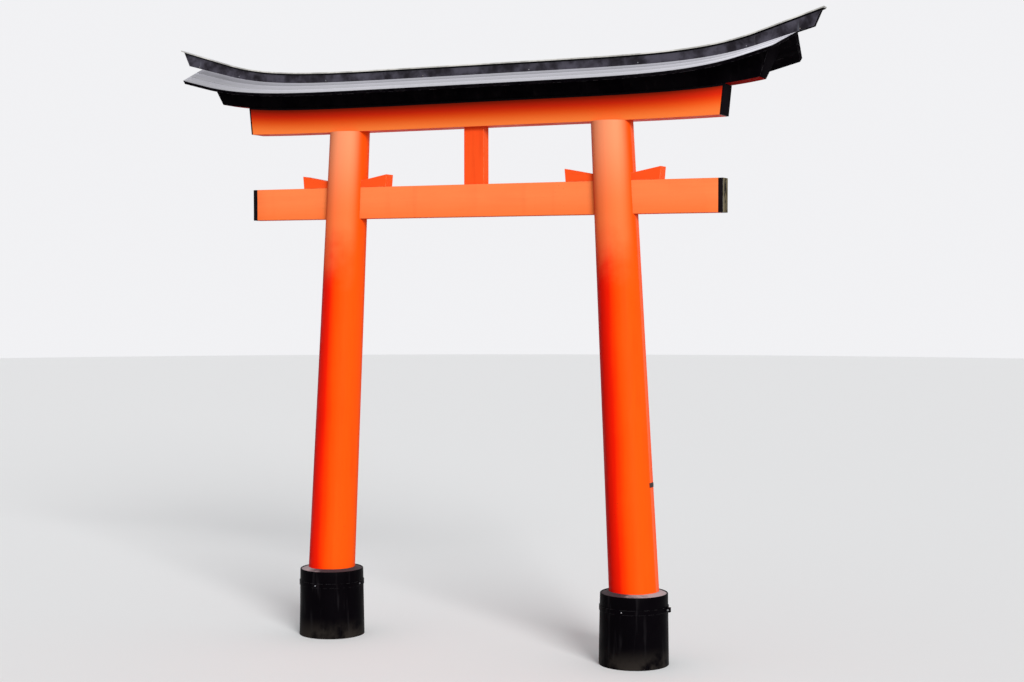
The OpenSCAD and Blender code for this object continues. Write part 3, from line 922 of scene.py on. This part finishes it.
lintel_steps = [(0.0, (0.62, 0.006, 0.002)), (0.5, (0.93, 0.055, 0.006)), (1.0, (0.97, 0.205, 0.048))]
lintel_paint = vermilion_paint(
    "lintel_vermilion", beam_grain, lintel_steps, low=-0.45, high=0.42, stains=0.06
)
# The eaves' shadow on the lower lintel's front is painted into its colour, darkest at the top
eave_shadow_depth = 0.167
eave_shadow_steps = [
    (0.07, (0.36, 0.004, 0.001)), (0.2, (0.80, 0.006, 0.001)), (0.32, (0.94, 0.012, 0.001)),
    (0.43, (0.96, 0.045, 0.002)), (0.55, (0.97, 0.095, 0.008)), (0.66, (0.97, 0.145, 0.020)),
    (0.8, (0.97, 0.195, 0.034)), (1.0, (0.97, 0.210, 0.046)),
]


def eave_shadow_and_fade(tree):
    """Painted shadow of the eaves: just under them the front is painted dark deep red, and lower down the
    sunny front is faded orange.
    """
    depth = sums(tree, "DIVIDE", read_mark(tree, "from_top"), eave_shadow_depth)
    return on_front(tree, 0.9), colour_steps(tree, depth, eave_shadow_steps)


def black_edges(tree):
    """A black band round each end and a narrow strip along the top."""
    end = brushed_line(tree, read_mark(tree, "from_end"), front_band)
    top = brushed_line(tree, read_mark(tree, "from_top"), top_strip)
    weather = use_group(tree, weather_group, {"Size": 6.0})
    black = blended(tree, weather["Mottle"], (0.002, 0.0014, 0.0024, 1), (0.008, 0.006, 0.008, 1))
    return sums(tree, "MAXIMUM", end, top), black


lay_over_paint(lintel_paint, eave_shadow_and_fade)
lay_over_paint(lintel_paint, black_edges, roughness=0.4)
timber = eased_copy("lower_lintel", ease=0.002, cuts=curve_cuts)
lower = stand_piece(timber, "lower_timber", lintel_paint, ["lower_lintel"])
dull_ends(lower, lintel_paint)
marked(
    lower,
    from_end=lambda p: lower_end + (p.z - foot_z) * lower_end_lean - abs(p.x),
    from_top=lambda p: joint_z + joint_rise * flare(p.x) - p.z,
)

# Upper lintel. The second timber of the double lintel widens upward to carry the roof boards. It is
# black, with ends sawn to a lean, and its underside is red where it passes the lower one.


def black_paint(name, run, dark, dusty, roughness, pale_edges=0.2, shine=faint_shine, relief=0.2):
    """Black paint on timber, mottled by weather and rubbed pale along its edges."""
    material, tree, finish = new_finish(name)
    weather = use_group(tree, weather_group, {"Size": 2.4})
    grain = use_group(tree, grain_group, {"Run": run})
    worn = use_group(tree, worn_group, {"Width": 0.0026, "Patchy": 0.46})["Mask"]
    base = blended(tree, between(tree, weather["Mottle"], 0.35, 0.65), (*dark, 1), (*dusty, 1))
    base = tinged(tree, base, weather["Runs"], 0.12, (0.04, 0.034, 0.036, 1))
    base = tinged(tree, base, worn, pale_edges, (0.45, 0.43, 0.45, 1))
    rough = between(tree, weather["Mottle"], 0.3, 0.7, roughness - 0.06, roughness + 0.12)
    feed(tree, finish, {"Base Color": base, "Roughness": rough, "Specular IOR Level": shine})
    planed_grain = sums(tree, "MULTIPLY_ADD", grain["Fibres"], 0.4, grain["Bands"])
    in_relief(tree, finish, planed_grain, strength=relief, depth=0.0014)
    return material


matt_black, dusty_black = (0.0018, 0.0012, 0.0022), (0.005, 0.0038, 0.0052)
upper_paint = black_paint("upper_black", beam_grain, matt_black, dusty_black, roughness=0.5)


def red_underside(tree):
    return between(tree, normal_of(tree, "Z"), -0.8, -0.9), (0.34, 0.006, 0.003, 1)


lay_over_paint(upper_paint, red_underside)
timber = eased_copy("upper_lintel", ease=0.002)
stand_piece(timber, "upper_timber", upper_paint, ["upper_lintel"])

# Roof boards. Two slopes of jointed boards lie on the upper lintel, bent to its curve, and are painted
# gloss black. Rain and dust have dulled their upper faces.
roof_half_w = 0.287
roof_pitch = math.radians(18)
roof_t = 0.019
roof_rise = 0.073
board_joint = 0.0008
boards_on_a_slope = 3
roof_ring_step = 0.035
verge_clear = 0.012
roof_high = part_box("front_roof_board")[1]
ridge_slope_z = roof_half_w * math.tan(roof_pitch)
verge_out = 0.053
eave_half = roof_high.x - verge_out
verge_lean = verge_out / ridge_slope_z
eave_z = roof_high.z - roof_rise * flare(roof_high.x) - ridge_slope_z


def roof_z(x, y):
    """Height of the roof's upper face."""
    return eave_z + roof_rise * flare(x) + (roof_half_w - abs(y)) * math.tan(roof_pitch)


def roof_plank(side, near, far):
    """One board of a slope, between two distances from the ridge, with its verge ends sawn leaning."""
    sink = roof_t / math.cos(roof_pitch)
    shift = roof_t * math.sin(roof_pitch)
    corners = [(near, 0), (far, 0), (far - shift, sink), (max(0, near - shift), sink)]
    pitch = math.tan(roof_pitch)
    ends = [eave_half + ((roof_half_w - y) * pitch - under) * verge_lean for y, under in corners]
    last_x = min(ends) - verge_clear
    rings = []
    for x in evenly(-last_x, last_x, roof_ring_step):
        rings.append([Vector((x, side * y, roof_z(x, y) - under)) for y, under in corners])
    for way, place in ((-1, 0), (1, len(rings) + 1)):
        ring = [Vector((way * x, side * y, roof_z(x, y) - under)) for x, (y, under) in zip(ends, corners)]
        rings.insert(place, ring)
    bm = tube_of_rings(rings)
    ease_edges(bm, ease=0.0016)
    return bm


def joined(parts):
    """Several shapes as one mesh."""
    whole = bmesh.new()
    for part in parts:
        mesh = bpy.data.meshes.new("part")
        part.to_mesh(mesh)
        part.free()
        whole.from_mesh(mesh)
        bpy.data.meshes.remove(mesh)
    return whole


def slope_of_boards(side):
    edges = evenly(0, roof_half_w, roof_half_w / boards_on_a_slope)
    pairs = zip(edges, edges[1:])
    return joined([roof_plank(side, near + board_joint / 2, far - board_joint / 2) for near, far in pairs])


def up_facing(face):
    return face.normal.z > 0.55


board_black = black_paint("board_black", (0.9, 11, 11), matt_black, dusty_black, roughness=0.5)
washed_black, dusty_grey = (0.018, 0.017, 0.021), (0.045, 0.043, 0.052)
roof_top = black_paint(
    "roof_top", (0.9, 10, 10), washed_black, dusty_grey,
    roughness=0.35, pale_edges=0.5, shine=0.5, relief=0.01,
)
gloss = roof_top.node_tree.nodes["Principled BSDF"]
feed(roof_top.node_tree, gloss, {
    "Coat Weight": 1.0,
    "Coat Roughness": 0.3,
    "Sheen Weight": 1.0,
    "Sheen Roughness": 0.5,
    "Sheen Tint": (0.93, 0.92, 1.0, 1),
})
for side, node in ((-1, "front_roof_board"), (1, "back_roof_board")):
    slope = stand_piece(slope_of_boards(side), node + "s", board_black, [node])
    second_finish(slope, roof_top, up_facing)

# Ridge board. A plank on edge closes the joint between the slopes. It is made in three lengths, with
# ends sawn to a lean.
plank_grain = (0.9, 13, 13)
# The ridge board's sides are painted a paler purple-grey than its other faces: partly dust, partly a
# painted reflection.
ridge_side_dust_and_reflection = black_paint(
    "ridge_black", plank_grain, (0.012, 0.010, 0.014), (0.070, 0.065, 0.085), roughness=0.4, shine=0.08
)
ridge_h = 0.047
ridge_grow = 0.011
shade_line = 0.007
seam_x = 1.905


def painted_cap_shadow(tree):
    """A painted shadow: the strip close under the cap, where its shade falls, is painted darkest."""
    return brushed_line(tree, read_mark(tree, "from_top"), shade_line), (0.002, 0.0015, 0.003, 1)


def rubbed_seam(tree):
    """A pale scuff on each side, where the ridge board leaves the end of the roof, fading upward."""
    hand = cloud(tree, spot_of(tree), scale=26.0, detail=3.0)
    along = sums(tree, "ABSOLUTE", spot_of(tree, "X"))
    away = sums(tree, "ABSOLUTE", sums(tree, "SUBTRACT", along, seam_x))
    wavering = sums(tree, "MULTIPLY_ADD", hand, 0.010, sums(tree, "SUBTRACT", away, 0.005))
    low_down = between(tree, read_mark(tree, "from_top"), 0.012, 0.045)
    scuff = sums(tree, "MULTIPLY", between(tree, wavering, 0.007, 0.0), low_down)
    return sums(tree, "MULTIPLY", scuff, 0.3), (0.17, 0.18, 0.21, 1)


lay_over_paint(ridge_side_dust_and_reflection, rubbed_seam)
# Painted shadow of the cap along the top of the ridge board's sides
lay_over_paint(ridge_side_dust_and_reflection, painted_cap_shadow)
for node in ("ridge_board", "left_ridge_end", "right_ridge_end"):
    plank = eased_copy(node, ease=0.001, cuts=curve_cuts)
    plank = stand_piece(plank, node + "_plank", board_black, [node])
    # The sides take the paler paint, partly dust and partly a painted reflection
    second_finish(plank, ridge_side_dust_and_reflection, lambda face: abs(face.normal.y) > 0.8)
    marked(plank, from_top=lambda p: roof_z(p.x, 0) + ridge_h + ridge_grow * flare(p.x) - p.z)
ridge_side_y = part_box("ridge_board")[1].y
end_nail_x = seam_x + 0.008
nail_up = 0.011
ridge_nails = bmesh.new()
for x in (-end_nail_x, -1.62, -1.0, -0.34, 0.34, 1.0, 1.62, end_nail_x):
    for side in (-1, 1):
        place = (x, side * (ridge_side_y - nail_sink), roof_z(x, ridge_side_y) + nail_up)
        nail_head(ridge_nails, place, (0, side, 0), r=0.0035, h=0.002)
stand_piece(ridge_nails, "ridge_nails", nail_zinc, sharp=40)

# Ridge cap. A thin plank in three lengths, laid flat on the ridge board, throws the rain off it. Its
# sides and ends are painted pale: partly paint rubbed away, partly a painted highlight.
# Pale grey for the cap's sides and ends: partly worn paint, partly a painted highlight
cap_side_worn_and_highlight = black_paint(
    "cap_side_worn_and_highlight", plank_grain, (0.34, 0.33, 0.31), (0.66, 0.64, 0.60), roughness=0.5, shine=0.2
)
for node in ("ridge_cap", "left_cap_end", "right_cap_end"):
    plank = stand_piece(eased_copy(node, ease=0.001), node + "_plank", board_black, [node])
    second_finish(plank, roof_top, up_facing)
    second_finish(plank, cap_side_worn_and_highlight, lambda face: abs(face.normal.y) > 0.6 or abs(face.normal.x) > 0.6)
